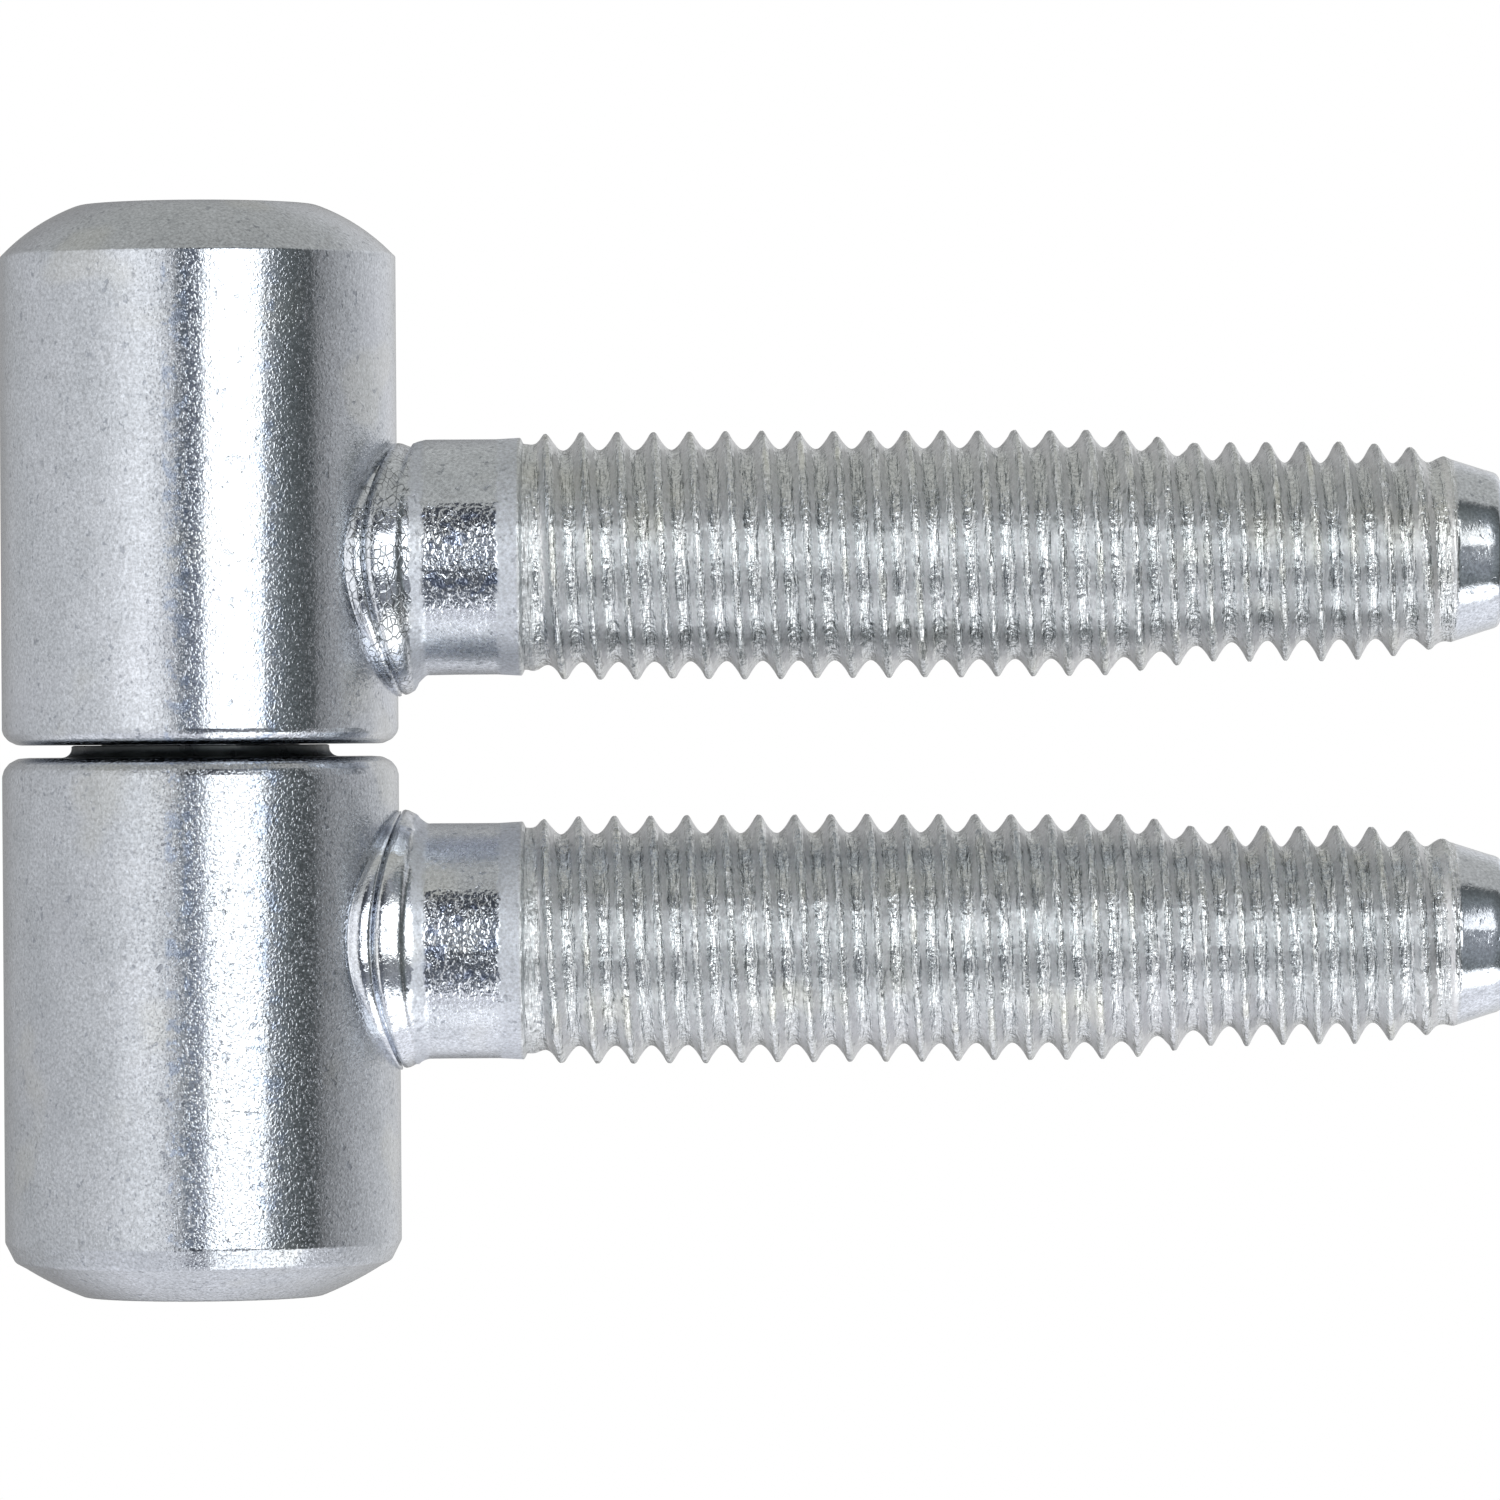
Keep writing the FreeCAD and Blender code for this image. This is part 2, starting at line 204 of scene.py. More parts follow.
# Blunt cone and its rounded end
TIP = [
    (37.55, 3.7), (37.62, 3.675), (38.3, 3.455), (38.9, 3.26), (39.28, 3.15), (39.39, 3.09),
    (39.46, 3.01), (39.5, 2.9), (39.5, 2.75), (39.5, 1.4), (39.5, 0.0),
]


def table(rows, x):
    return np.interp(x, [r[0] for r in rows], [r[1] for r in rows])


def ripple(points, size, seed):
    """Smooth noise, about -1 to 1, at points in millimetres."""
    shift = Vector((seed * 13.7, seed * 5.3, seed * 9.1))
    return np.array([noise.noise(Vector(p) / size + shift) for p in points])


def sag(radius, y):
    """How far a circle of that radius falls back at a distance y from its middle."""
    return radius - np.sqrt(radius**2 - np.minimum(np.abs(y), radius) ** 2)


def threaded_rows(phase, angles):
    """Stations of the helical grid, their radii and their share of the thread's height.

    The rows follow the thread's crest, and the number of rows to a turn comes last.
    """
    steps = sorted({s for d, _ in CREST for s in (d, -d)} - {-0.5})
    first, last = THREAD_SPAN
    begin = math.floor((first - phase) / PITCH) - 2
    stop = math.ceil((last - phase) / PITCH) + 1
    stations = [phase + PITCH * (n + s) for n in range(begin, stop) for s in steps]
    turns = angles / (2 * math.pi)
    x = np.array([[s + PITCH * t for t in turns] for s in stations])
    x = np.clip(x, first, last)
    offset = (x - phase) / PITCH - turns[None, :]
    offset = np.abs((offset + 0.5) % 1.0 - 0.5)
    share = table(CREST, offset)
    run_in = np.clip((x - 0.1) / 0.9, 0, 1)
    share = share * (run_in * run_in * (3 - 2 * run_in))
    radius = table(ROOT_RADIUS, x) + share * (table(CREST_RADIUS, x) - table(ROOT_RADIUS, x))
    return x, radius, share, len(steps)


def foot_rows(angles, kind):
    """Weld flash and neck: rings of stations and radii, from inside the barrel's wall."""
    y = FLASH_R * np.cos(angles)
    wall = WALL_X - sag(BARREL_R, y)
    seam = -4.9 - sag(13.5, y)
    face = -4.16 - 0.55 * (y / FLASH_R) ** 2
    down = np.clip(-np.sin(angles), 0, 1)
    up = np.clip(np.sin(angles), 0, 1)
    if kind == "upper":
        bead = 5.2 + 0.38 * down**2 - 0.72 * up**1.5
        collar = 5.28 + 0.2 * down**2 - 0.72 * up**1.5
        cut = 0.07
        seam = seam - 0.25 + 0.3 * down
    else:
        bead = 5.16 + 0.06 * up
        collar = 5.22 + 0.03 * up - 0.16 * down
        cut = 0.2
    ring = np.ones_like(angles)
    rows = [(wall - 0.4, 5.25 * ring), (wall - 0.08, bead)]
    gap = seam - wall
    for s in (0.08, 0.2, 0.35, 0.5, 0.65, 0.8, 0.9):
        swell = 0.16 * math.sin(math.pi * s) ** 0.8 * np.clip(gap, 0.2, 1)
        rows.append((wall + gap * s, bead + swell))
    rows += [(seam - 0.05, bead), (seam, bead - cut), (seam + 0.05, collar - cut * 0.8)]
    width = face - seam
    for s, lift in ((0.1, 0.03), (0.22, 0.06), (0.4, 0.03), (0.6, -0.04), (0.76, -0.1)):
        rows.append((seam + width * s, collar + lift))
    rest = collar - NECK_R
    for s, share in ((0.86, 0.72), (0.94, 0.59), (1.0, 0.45)):
        rows.append((seam + width * s, NECK_R + rest * share))
    taper = NECK_FOOT_X - face
    for s, share in ((0.15, 0.36), (0.35, 0.25), (0.6, 0.13), (0.8, 0.05), (1.0, 0.0)):
        rows.append((face + taper * s, NECK_R + rest * share))
    for x in (-3.7, -3.3, -2.6, -1.8, -1.2, -0.98, -0.88, -0.7, -0.45, -0.2, -0.08):
        flare = 0.05 * float(np.clip((x + 0.98) / 0.9, 0, 1))
        rows.append((x * ring, (NECK_R + flare) * ring))
    rows += [(-0.02 * ring, 4.805 * ring), (0.03 * ring, 4.77 * ring), (0.12 * ring, 4.58 * ring)]
    return rows


def round_axis(x, r, angles, height=0.0):
    """Points of a grid of stations and radii about a level axis."""
    across, up = r * np.cos(angles), height + r * np.sin(angles)
    return np.column_stack([x.ravel(), across.ravel(), up.ravel()])


def weathered(x, r, share, angles, kind, seed):
    """Radii with the rolled thread's unevenness, its knocks at the step, and the flash's lumps."""
    flat = round_axis(x, r, angles)
    fine = ripple(flat, 0.35, seed).reshape(x.shape)
    broad = ripple(flat, 1.6, seed + 3).reshape(x.shape)
    threaded = np.clip((x - 0.2) / 0.6, 0, 1) * np.clip((37.4 - x) / 0.5, 0, 1)
    knocked = 1 + 1.5 * np.exp(-(((x - STEP_X) / 1.3) ** 2))
    r = r + threaded * knocked * ((0.006 + 0.03 * share) * fine + 0.035 * share * broad)
    flashy = np.clip((-2.9 - x) / 0.8, 0, 1)
    rough = 0.9 if kind == "upper" else 0.6
    r = r + flashy * rough * (0.02 * fine + 0.03 * broad)
    return np.minimum(r, np.where(x > -3, table(CREST_RADIUS, x) + 0.05, 6.0))


def shank_faces(rows, begin, end, per_turn):
    """Faces of the grid. From row begin to end, a row's last column meets the row a turn on."""
    faces = []
    last = COLUMNS - 1
    for k in range(rows - 1):
        if k in (begin - 1, end - 1):
            continue
        here, ahead = k * COLUMNS, (k + 1) * COLUMNS
        for j in range(last):
            faces.append((here + j, ahead + j, ahead + j + 1, here + j + 1))
        near, far = k, k + 1
        if begin <= k < end:
            near, far = min(near + per_turn, end - 1), min(far + per_turn, end - 1)
        faces.append((here + last, ahead + last, far * COLUMNS, near * COLUMNS))
    return faces


def shank(name, kind, seed, phase):
    """Screw piece of one half: flash, neck, helical thread, second stage and cone."""
    angles = round_angles(COLUMNS)
    ring = np.ones_like(angles)
    foot = foot_rows(angles, kind)
    grid_x, grid_r, share, per_turn = threaded_rows(phase, angles)
    tip = [(x * ring, r * ring) for x, r in TIP]
    x = np.vstack([[row[0] for row in foot], grid_x, [row[0] for row in tip]])
    r = np.vstack([[row[1] for row in foot], grid_r, [row[1] for row in tip]])
    share = np.pad(share, ((len(foot), len(tip)), (0, 0)))
    r = weathered(x, r, share, angles, kind, seed)
    points = round_axis(x, r, angles, SHANK_Z[kind])
    faces = shank_faces(len(x), len(foot), len(foot) + len(grid_x), per_turn)
    return mesh_object(name, points, faces, sharp=70, share=share.ravel())


# Materials


class Nodes:
    """Short calls for one node tree."""

    def __init__(self, tree):
        self.tree = tree

    def add(self, kind, inputs=(), **settings):
        node = self.tree.nodes.new(kind)
        for key, value in settings.items():
            setattr(node, key, value)
        for key, value in dict(inputs).items():
            self.feed(node.inputs[key], value)
        return node

    def feed(self, socket, value):
        if isinstance(value, bpy.types.NodeSocket):
            self.tree.links.new(value, socket)
        else:
            socket.default_value = value

    def output(self, kind, shader):
        self.tree.links.new(shader.outputs[0], self.add(kind).inputs["Surface"])

    def math(self, operation, a, *others):
        """The operation on one value, or on the first two, its result and the third, and so on."""
        if not others:
            return self.add("ShaderNodeMath", {0: a}, operation=operation).outputs[0]
        for b in others:
            a = self.add("ShaderNodeMath", {0: a, 1: b}, operation=operation).outputs[0]
        return a

    def times(self, *values):
        return self.math("MULTIPLY", *values)

    def plus(self, *values):
        return self.math("ADD", *values)

    def minus(self, *values):
        return self.math("SUBTRACT", *values)

    def most(self, *values):
        return self.math("MAXIMUM", *values)

    def off(self, value, middle):
        """Distance of a value from a middle."""
        return self.math("ABSOLUTE", self.minus(value, middle))

    def span(self, value, low, high, to_low=0.0, to_high=1.0, smooth=True):
        inputs = {"Value": value, "From Min": low, "From Max": high}
        inputs.update({"To Min": to_low, "To Max": to_high})
        kind = "SMOOTHSTEP" if smooth else "LINEAR"
        return self.add("ShaderNodeMapRange", inputs, interpolation_type=kind).outputs["Result"]

    def within(self, value, low, high, soft):
        """1 between low and high, with edges of that softness."""
        rising = self.span(value, low - soft, low + soft)
        return self.times(rising, self.span(value, high - soft, high + soft, 1.0, 0.0))

    def mix(self, factor, under, colour):
        """Colour laid over another by a factor."""
        node = self.add("ShaderNodeMix", {0: factor}, data_type="RGBA")
        self.feed(node.inputs[6], under)
        self.feed(node.inputs[7], (*colour, 1.0) if isinstance(colour, tuple) else colour)
        return node.outputs[2]

    def tint(self, tone, mask, strength, colour):
        return self.mix(self.times(mask, strength), tone, colour)

    def vector(self, operation, vector, other):
        key = "Scale" if operation == "SCALE" else 1
        inputs = {0: vector, key: other}
        return self.add("ShaderNodeVectorMath", inputs, operation=operation).outputs[0]

    def ramp(self, factor, stops):
        node = self.add("ShaderNodeValToRGB", {0: factor})
        elements = node.color_ramp.elements
        while len(elements) < len(stops):
            elements.new(0.5)
        for element, (place, level) in zip(elements, stops):
            element.position = place
            colour = level if isinstance(level, tuple) else (level,) * 3
            element.color = (*colour, 1.0)
        return node.outputs[0]

    def chart(self, value, low, high, rows):
        """Level or colour read off rows of (value, level), for values from low to high."""
        share = self.math("DIVIDE", self.plus(value, -low), high - low)
        return self.ramp(share, [((place - low) / (high - low), level) for place, level in rows])

    def place(self):
        return self.add("ShaderNodeTexCoord").outputs["Object"]

    def axes(self, vector):
        return tuple(self.add("ShaderNodeSeparateXYZ", {0: vector}).outputs)

    def mapped(self, vector, **inputs):
        return self.add("ShaderNodeMapping", {"Vector": vector, **inputs}).outputs[0]

    def noise(self, vector, scale, detail=2.0, roughness=0.5):
        inputs = {"Vector": vector, "Scale": scale, "Detail": detail, "Roughness": roughness}
        return self.add("ShaderNodeTexNoise", inputs).outputs["Fac"]


def blank(datablock):
    """Node calls for a new material or world whose tree is emptied."""
    datablock.use_nodes = True
    datablock.node_tree.nodes.clear()
    return Nodes(datablock.node_tree)


def principled(name):
    """New material with its first shader kept."""
    material = bpy.data.materials.new(name)
    material.use_nodes = True
    return material, Nodes(material.node_tree), material.node_tree.nodes["Principled BSDF"]


PLATE_DARK, PLATE_PALE = (0.53, 0.56, 0.603), (0.625, 0.654, 0.705)
PLATE_COOL, PLATE_WARM = (0.565, 0.575, 0.64), (0.66, 0.645, 0.56)


def zinc(name, roughness, grain, seed, detail, glint=1.0, marks=1.0, shade=1.0, **settings):
    """Zinc plate on turned steel: fine grain, faint scratches, pits and passivation tint.

    The grain is the height of the relief in metres, and the seed moves the pattern. Glint, marks
    and shade scale the raised grains, the scratches and the plate's brightness. A shade away
    from 1 gives a lighter or darker copy of the same plate, as painted light or shade. The detail
    is a function that finishes the surface (tone, gloss and relief), by the settings left over.
    """

    def shaded(colour):
        return tuple(v * shade for v in colour)

    material = bpy.data.materials.new(name)
    n = blank(material)
    place = n.place()
    at = n.mapped(place, Location=(seed, seed * 0.7, seed * 1.3))
    fine = n.noise(at, 13000.0, 2.0, 0.55)
    crystal = n.noise(at, 5200.0, 2.0, 0.6)
    cloud = n.noise(at, 420.0, 3.0, 0.55)
    slanted = n.mapped(at, Rotation=(0.5, 0.9, 0.3), Scale=(4200.0, 4200.0, 520.0))
    crossed = n.mapped(at, Rotation=(0.2, -0.5, 0.9), Scale=(5200.0, 700.0, 5200.0))
    scratch = n.span(n.noise(slanted, 1.0, 1.0), 0.66, 0.74)
    scratch = n.most(scratch, n.span(n.noise(crossed, 1.0, 1.0), 0.68, 0.76))
    scratch = n.times(scratch, n.span(cloud, 0.46, 0.62), marks)
    pits = n.span(n.noise(at, 3600.0, 2.0), 0.6, 0.7)
    pits = n.times(pits, n.span(n.noise(at, 900.0, 2.0), 0.44, 0.62))
    stain = n.span(n.noise(at, 1500.0, 3.0, 0.6), 0.58, 0.72)
    flecks = n.span(n.noise(at, 8200.0, 2.0, 0.65), 0.28, 0.72, 0.7, 1.25, smooth=False)
    glints = n.span(n.noise(at, 8800.0, 1.0), 0.5, 0.7)
    cool = n.span(n.noise(at, 120.0, 2.0), 0.5, 0.7)
    warm = n.span(n.noise(at, 260.0, 1.0), 0.6, 0.72)

    stops = [(0.0, shaded(PLATE_DARK)), (1.0, shaded(PLATE_PALE))]
    tone = n.ramp(n.span(cloud, 0.3, 0.7, smooth=False), stops)
    tone = n.tint(tone, n.span(crystal, 0.3, 0.7, smooth=False), 0.3, (0.4, 0.41, 0.43))
    tone = n.vector("SCALE", tone, flecks)
    tone = n.tint(tone, cool, 0.25, shaded(PLATE_COOL))
    tone = n.tint(tone, warm, 0.2, shaded(PLATE_WARM))
    tone = n.tint(tone, stain, 0.22, (0.36, 0.37, 0.38))
    tone = n.tint(tone, pits, 0.55, (0.2, 0.22, 0.26))
    tone = n.tint(tone, scratch, 0.3, (0.4, 0.41, 0.44))
    gloss = n.span(crystal, 0.4, 0.62, roughness, roughness + 0.09)
    gloss = n.plus(gloss, n.times(stain, 0.05), n.times(scratch, 0.12))
    relief = n.plus(fine, n.times(crystal, 1.6), n.times(glints, glint))
    relief = n.minus(relief, n.times(scratch, 0.8), n.times(pits, 2.6))
    tone, gloss, relief = detail(n, place, at, (tone, gloss, relief), **settings)

    bump = n.add("ShaderNodeBump", {"Strength": 1.0, "Distance": grain, "Height": relief})
    inputs = {"Base Color": tone, "Roughness": gloss, "Normal": bump.outputs[0], "Metallic": 1.0}
    n.output("ShaderNodeOutputMaterial", n.add("ShaderNodeBsdfPrincipled", inputs))
    return material


def painted_barrel_reflection(n, place, at, surface):
    """Painted reflection: a faint blue tint in the two dark bands that the window's frame reflects
    beside its bright reflection.
    """
    tone, gloss, relief = surface
    x, y, z = n.axes(place)
    left = n.times(n.span(x, -14.1 * MM, -13.9 * MM), n.span(x, -12.8 * MM, -13.1 * MM))
    right = n.times(n.span(x, -10.9 * MM, -10.4 * MM), n.span(x, -9.1 * MM, -9.7 * MM))
    reflected_bands = n.times(n.plus(left, right), n.span(y, -4.0 * MM, -6.0 * MM))
    reflected_bands = n.times(reflected_bands, n.span(n.off(z, MIDDLE_Z * MM), 19.9 * MM, 19.3 * MM))
    # Blue painted into the plate's colour where the frame's dark reflection falls in this view
    painted_blue_reflection = n.times(n.span(n.noise(at, 1500.0, 3.0, 0.7), 0.5, 0.62), reflected_bands)
    return n.tint(tone, painted_blue_reflection, 0.36, (0.26, 0.36, 0.56)), gloss, relief


def shank_detail(n, place, at, surface, crackle):
    """Finish of the neck, the weld flash, the rolled thread and the tip, with a blue reflection
    painted on the neck's side facing the camera.
    """
    x, y, z = n.axes(place)
    wavy = n.plus(x, n.times(n.minus(n.noise(at, 2600.0, 2.0), 0.5), 0.5 * MM))
    neck = n.times(n.span(wavy, -3.98 * MM, -3.76 * MM), n.span(wavy, -0.78 * MM, -0.98 * MM))
    flash = n.span(wavy, -4.3 * MM, -4.45 * MM)
    thread = n.span(x, -0.14 * MM, 0.02 * MM)
    tip = n.span(x, 37.5 * MM, 37.75 * MM)
    dull = n.minus(1.0, n.most(neck, flash, thread))
    level = n.off(n.off(z, MIDDLE_Z * MM), MIDDLE_Z * MM)
    front = n.times(n.span(level, 1.9 * MM, 1.5 * MM), n.span(y, -3.0 * MM, -4.0 * MM))

    tone, gloss, relief = surface
    gloss = n.plus(gloss, n.times(dull, 0.4))
    gloss = n.minus(gloss, n.times(n.most(neck, flash, tip), 0.08))
    gloss = n.plus(gloss, n.times(thread, n.span(x, 0.75 * MM, 0.4 * MM, 0.0, 0.22)))
    gloss = n.plus(gloss, n.times(neck, n.span(level, 1.9 * MM, 2.9 * MM, 0.0, 0.2)))
    # Painted reflection: blue painted on the neck's side that faces the camera, where the window
    # frame's dark reflection falls
    painted_blue_reflection = n.times(n.span(n.noise(at, 1900.0, 1.0), 0.58, 0.66), n.times(neck, front))
    tone = n.tint(tone, painted_blue_reflection, 0.45, (0.18, 0.26, 0.48))
    tone = n.tint(tone, dull, 0.22, (0.7, 0.71, 0.76))
    patch = n.times(neck, n.span(level, 2.4 * MM, 2.05 * MM, 0.6, 7.5))
    relief = n.times(relief, n.span(tip, 0.0, 1.0, 1.0, 0.3))
    relief = n.plus(relief, n.times(patch, n.noise(at, 4600.0, 1.0)))
    surface = flash_cracks(n, at, (tone, gloss, relief), n.times(flash, crackle))
    return rolled_thread(n, at, surface, n.times(thread, n.minus(1.0, tip)))


def flash_cracks(n, at, surface, flash):
    """Fine dark cracks between the flash's cells."""
    tone, gloss, relief = surface
    cells = n.add(
        "ShaderNodeTexVoronoi",
        {"Vector": n.mapped(at, Scale=(4200.0, 3000.0, 2300.0)), "Scale": 1.0, "Randomness": 1.0},
        feature="DISTANCE_TO_EDGE",
    ).outputs["Distance"]
    broken = n.span(n.noise(at, 1500.0, 1.0), 0.34, 0.5)
    crack = n.times(n.span(cells, 0.1, 0.0), flash, broken)
    relief = n.minus(relief, n.times(crack, 1.8))
    return n.tint(tone, crack, 0.75, (0.1, 0.11, 0.11)), gloss, relief


def rolled_thread(n, at, surface, thread):
    """Bright, streaked crests and roots between pale, dull flanks."""
    tone, gloss, relief = surface
    share = n.add("ShaderNodeAttribute", attribute_name="share").outputs["Fac"]
    rim = n.plus(share, n.times(n.minus(n.noise(at, 3400.0, 2.0), 0.5), 0.3))
    worked = n.times(n.most(n.span(rim, 0.54, 0.9), n.span(rim, 0.42, 0.1)), thread)
    flank = n.minus(thread, worked)
    gloss = n.plus(gloss, n.times(flank, 0.24))
    tone = n.tint(tone, flank, 0.42, (0.8, 0.8, 0.86))
    rolled = n.mapped(at, Scale=(5600.0, 900.0, 900.0))
    ridges = n.minus(n.noise(rolled, 1.0, 2.0, 0.6), 0.5)
    relief = n.plus(relief, n.times(ridges, n.span(worked, 0.0, 1.0, 8.0, 34.0), thread))
    knocks = n.times(worked, n.minus(n.noise(at, 3800.0, 2.0), 0.5))
    uneven = n.span(n.noise(at, 650.0, 2.0), 0.38, 0.62, 4.0, 22.0)
    relief = n.plus(relief, n.times(knocks, uneven))
    dents = n.times(n.span(n.noise(at, 2100.0, 1.0), 0.68, 0.74), thread)
    tone = n.tint(tone, dents, 0.35, (0.15, 0.17, 0.17))
    crest = n.times(n.span(share, 0.8, 0.95), thread)
    warm = n.times(crest, n.span(n.noise(at, 420.0, 1.0), 0.58, 0.68))
    tone = n.tint(tone, warm, 0.14, (0.8, 0.79, 0.58))
    neutral = n.vector("MULTIPLY", tone, (1.04, 1.025, 0.97))
    return n.mix(thread, tone, neutral), gloss, relief


def painted_gap_shade(name):
    """Bearing ring painted near black with a fine grain: painted shade for the narrow gap between
    the barrels.
    """
    material, n, shader = principled(name)
    place = n.place()
    cloud = n.noise(place, 900.0, 3.0)
    # Painted shade: near black with a faint mottle
    painted_shade = n.ramp(cloud, [(0.3, (0.02, 0.023, 0.024)), (0.8, (0.07, 0.08, 0.08))])
    n.feed(shader.inputs["Base Color"], painted_shade)
    n.feed(shader.inputs["Roughness"], n.span(cloud, 0.3, 0.7, 0.25, 0.45))
    bump = n.add("ShaderNodeBump", {"Distance": 8e-6, "Height": n.noise(place, 6000.0)})
    n.feed(shader.inputs["Normal"], bump.outputs[0])
    shader.inputs["Metallic"].default_value = 0.4
    return material


def plain_floor():
    """Pale, faintly mottled sheet."""
    material, n, shader = principled("pale_floor")
    shade = n.ramp(n.noise(n.place(), 60.0), [(0.0, 0.88), (1.0, 0.92)])
    n.feed(shader.inputs["Base Color"], shade)
    shader.inputs["Roughness"].default_value = 0.9
    return material


# Studio. Azimuths count from the camera's side towards +X, and both angles are in degrees.

# Walls by azimuth
AROUND = [
    (-180, 0.28), (-152, 0.38), (-132, 0.57), (-110, 0.64), (-92, 0.68), (-77, 0.74), (-63, 0.76),
    (-50, 0.87), (-40, 1.08), (-31, 1.2), (-22, 1.1), (-15, 0.8), (-9, 0.55), (60, 0.28),
    (78, 0.31), (90, 0.46), (106, 0.59), (130, 0.75), (150, 0.8), (168, 0.62), (180, 0.4),
]
# Floor and ceiling by elevation
RISE = [
    (-90, (0.66, 0.66, 0.68)), (-75, (0.92, 0.92, 0.95)), (-55, (0.95, 0.95, 0.98)),
    (-40, (0.82, 0.82, 0.84)), (0, (0.55, 0.55, 0.55)), (40, (0.49, 0.49, 0.47)),
    (60, (0.49, 0.49, 0.465)), (90, (0.44, 0.44, 0.415)),
]
# The window's dark frame by azimuth
SHADE = [
    (-12, (0.22, 0.235, 0.24)), (-8, (0.15, 0.165, 0.18)), (-2, (0.15, 0.165, 0.2)),
    (3, (0.2, 0.215, 0.25)), (38, (0.3, 0.31, 0.33)), (44, (0.29, 0.31, 0.33)),
    (51, (0.2, 0.22, 0.225)), (58, (0.135, 0.148, 0.148)), (66, (0.1, 0.108, 0.108)),
    (74, (0.105, 0.112, 0.112)),
]
# Factor on the frame by elevation at its near side, and the scale its ramp is stored at
DEPTH_TOP = 3.0
DEPTH = [
    (-55, 1.1), (-45, 1.0), (-33, 0.8), (-24, 0.55), (-15, 0.45), (-7, 0.7), (-3.6, 2.6),
    (-0.8, 2.6), (0.4, 1.0), (3.2, 1.0), (6, 0.9), (14, 1.5), (20, 1.0), (28, 0.5), (38, 0.3),
    (52, 0.3),
]
WINDOW, SIDE_WINDOW = (2.55, 2.6, 2.6), (1.3, 1.32, 1.32)
TABLE_TOP, NEAR_FLOOR = (2.1, 2.12, 2.12), (0.62, 0.62, 0.66)
STUDIO_STRENGTH = 1.16


def studio_light():
    """Light by direction: grey walls, a white window in a dark frame, and a pale table."""
    material = bpy.data.materials.new("studio_light")
    n = blank(material)
    way = n.add("ShaderNodeVectorMath", {0: n.place()}, operation="NORMALIZE").outputs[0]
    x, y, z = n.axes(way)
    around = n.math("DEGREES", n.math("ARCTAN2", x, n.times(y, -1.0)))
    rise = n.math("DEGREES", n.math("ARCSINE", z))

    heights = n.chart(rise, -90.0, 90.0, RISE)
    low = n.times(n.span(around, -20.0, -12.0), n.span(around, 10.0, 5.0))
    low = n.times(low, n.times(n.span(rise, -50.0, -56.0), n.span(rise, -88.0, -80.0)))
    heights = n.mix(low, heights, NEAR_FLOOR)
    steep = n.span(n.math("ABSOLUTE", rise), 22.0, 52.0)
    light = n.mix(steep, n.chart(around, -180.0, 180.0, AROUND), heights)

    depth = n.chart(rise, -90.0, 90.0, [(place, level / DEPTH_TOP) for place, level in DEPTH])
    near = n.span(around, 30.0, 8.0)
    depth = n.plus(n.times(depth, DEPTH_TOP, near), n.minus(1.0, near))
    shade = n.vector("SCALE", n.chart(around, -180.0, 180.0, SHADE), depth)
    frame_zone = n.times(n.within(around, -10.5, 74.0, 2.5), n.within(rise, -56.0, 52.0, 3.0))
    light = n.mix(frame_zone, light, shade)
    wing = n.times(n.within(around, 34.0, 45.5, 1.2), n.within(rise, 5.5, 34.0, 1.5))
    light = n.mix(wing, light, SIDE_WINDOW)
    pane = n.times(n.within(around, 5.5, 38.8, 1.6), n.within(rise, -13.0, 27.0, 1.5))
    light = n.mix(pane, light, WINDOW)
    bench = n.times(n.within(around, 8.0, 78.0, 3.0), n.span(rise, -38.0, -43.0))
    light = n.tint(light, bench, 0.85, TABLE_TOP)
    emission = n.add("ShaderNodeEmission", {"Color": light, "Strength": STUDIO_STRENGTH})
    n.output("ShaderNodeOutputMaterial", emission)
    return material


def surround():
    """Sphere round the object that shows only in its reflections and lights it."""
    rings, sides, radius = 24, 48, 800.0
    points = []
    for k in range(rings + 1):
        tilt = math.pi * k / rings
        flat, up = radius * math.sin(tilt), radius * math.cos(tilt)
        points += [(flat * math.cos(a), flat * math.sin(a), up) for a in round_angles(sides)]
    shell = mesh_object("studio_surround", points, ring_faces(rings + 1, sides))
    shell.location = (0.0, 0.0, 7.7 * MM)
    shell.data.materials.append(studio_light())
    shell.visible_camera = False
    shell.visible_shadow = False


def floor_disc(radius=300.0, height=-80.0, rings=7, sides=96):
    """Pale round floor under the object, kept out of its reflections."""
    points = [
        (r * math.cos(a), r * math.sin(a), height)
        for r in np.linspace(0, radius, rings)
        for a in round_angles(sides)
    ]
    floor = mesh_object("floor", points, ring_faces(rings, sides))
    floor.data.materials.append(plain_floor())
    floor.visible_glossy = False


def white_world(scene):
    """White to the camera and in glossy surfaces, dim as a light."""
    world = bpy.data.worlds.new("studio")
    scene.world = world
    n = blank(world)
    path = n.add("ShaderNodeLightPath").outputs
    seen = n.most(path["Is Camera Ray"], path["Is Glossy Ray"], path["Is Transmission Ray"])
    level = n.span(seen, 0.0, 1.0, 0.35, 1.0, smooth=False)
    back = n.add("ShaderNodeBackground", {"Color": (1.0, 1.0, 1.0, 1.0), "Strength": level})
    n.output("ShaderNodeOutputWorld", back)


def overhead_lamp(scene):
    """Soft lamp that gives the object its shadow on the floor."""
    lamp = bpy.data.lights.new("overhead", "AREA")
    lamp.shape = "DISK"
    lamp.size = 0.5
    lamp.energy = 4.0
    hung = bpy.data.objects.new("overhead", lamp)
    hung.location = (-0.1, -0.15, 0.55)
    aim = Vector((0, 0, -0.05)) - hung.location
    hung.rotation_euler = aim.to_track_quat("-Z", "Y").to_euler()
    hung.visible_glossy = False
    scene.collection.objects.link(hung)


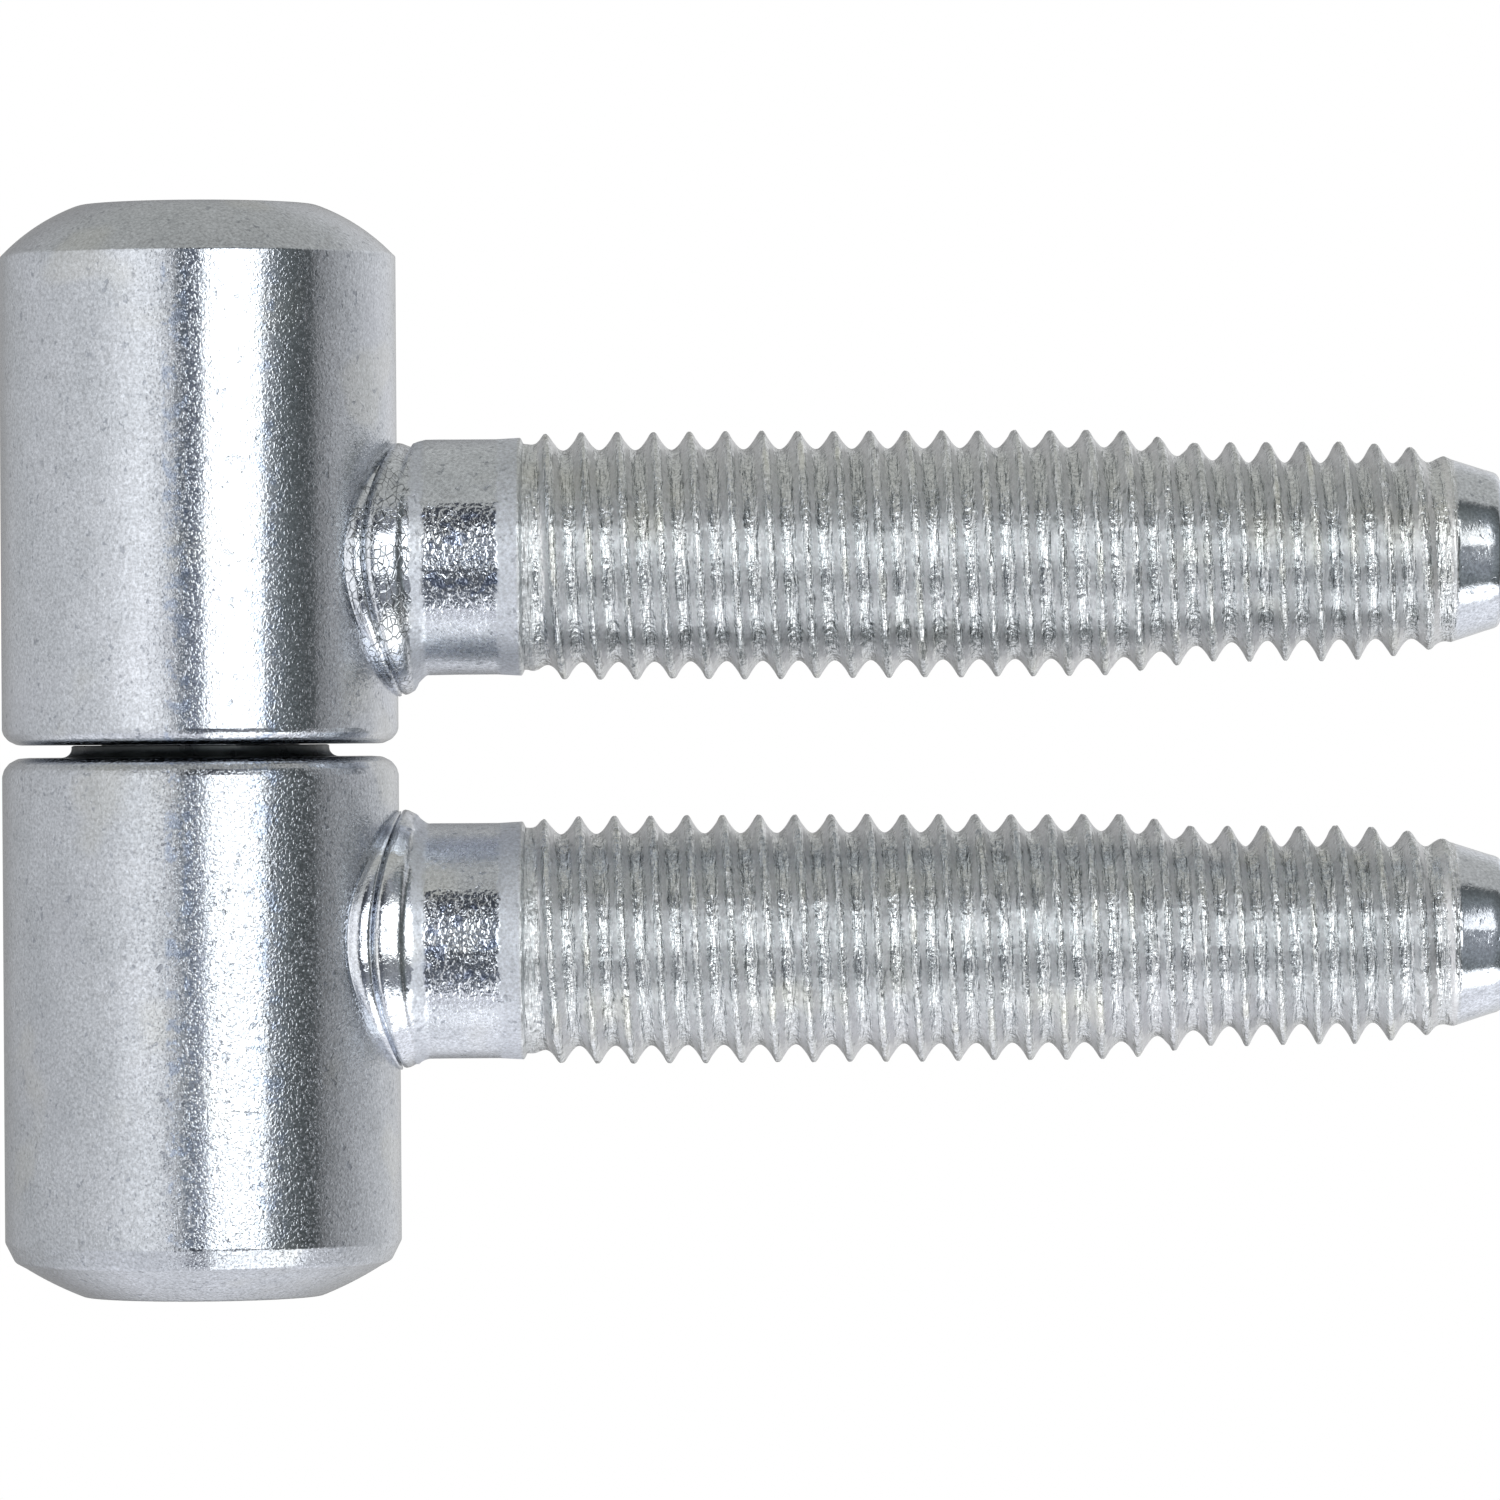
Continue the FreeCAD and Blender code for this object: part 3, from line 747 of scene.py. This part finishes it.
def studio():
    """Camera at the photograph's viewpoint, white background, floor and soft light."""
    scene = bpy.context.scene
    camera = bpy.data.objects.new("camera", bpy.data.cameras.new("camera"))
    camera.data.lens = 240.0
    camera.data.sensor_width = 36.0
    camera.data.clip_start, camera.data.clip_end = 0.01, 10.0
    camera.location = (9.2 * MM, -404 * MM, 7.63 * MM)
    camera.rotation_euler = (math.pi / 2, math.radians(0.38), 0.0)
    scene.collection.objects.link(camera)
    scene.camera = camera
    scene.view_settings.view_transform = "Standard"
    white_world(scene)
    floor_disc()
    surround()
    overhead_lamp(scene)


# The hinge

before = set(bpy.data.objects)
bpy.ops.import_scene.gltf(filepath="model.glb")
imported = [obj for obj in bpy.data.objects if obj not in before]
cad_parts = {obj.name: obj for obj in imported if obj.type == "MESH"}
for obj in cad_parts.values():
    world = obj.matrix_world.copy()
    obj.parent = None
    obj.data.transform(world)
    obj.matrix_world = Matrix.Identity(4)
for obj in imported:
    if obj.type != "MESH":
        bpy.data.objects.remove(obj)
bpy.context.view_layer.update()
studio()

upper_plate = zinc("zinc_upper_barrel", 0.06, 2.6e-6, 0.013, painted_barrel_reflection, glint=1.9)
# The lower barrel's plate is painted 10% darker than the upper's: painted shade
lower_plate = zinc("zinc_lower_barrel", 0.08, 3.5e-6, 0.029, painted_barrel_reflection, glint=2.1, shade=0.9)
# The shanks' plate is painted 20% lighter: partly a paler plate, partly painted light for the
# shade in the thread's valleys
on_shank = {"detail": shank_detail, "glint": 0.35, "marks": 0.4, "shade": 1.2}
upper_thread = zinc("zinc_upper_shank", 0.12, 5.0e-6, 0.047, crackle=1.0, **on_shank)
lower_thread = zinc("zinc_lower_shank", 0.12, 5.0e-6, 0.053, crackle=0.0, **on_shank)
bright = zinc("bright_pin", 0.18, 2.0e-6, 0.061, painted_barrel_reflection, marks=0.2)

pieces = [
    (upper_barrel(), "door_half", "upper_knuckle", upper_plate),
    (shank("upper_shank", "upper", 1, 0.638), "door_half", "upper_screw", upper_thread),
    (lower_barrel(), "frame_half", "lower_knuckle", lower_plate),
    (shank("lower_shank", "lower", 2, 0.428), "frame_half", "lower_screw", lower_thread),
]
for piece, body, node, plate in pieces:
    piece.data.materials.append(plate)
    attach(piece, body)
    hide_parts(node)
# The lower barrel's thrust ring takes its second material, painted near black as the shade in the
# gap between the barrels
pieces[2][0].data.materials.append(painted_gap_shade("painted_gap_shade_ring"))
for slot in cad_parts["hinge_pin"].material_slots:
    slot.material = bright
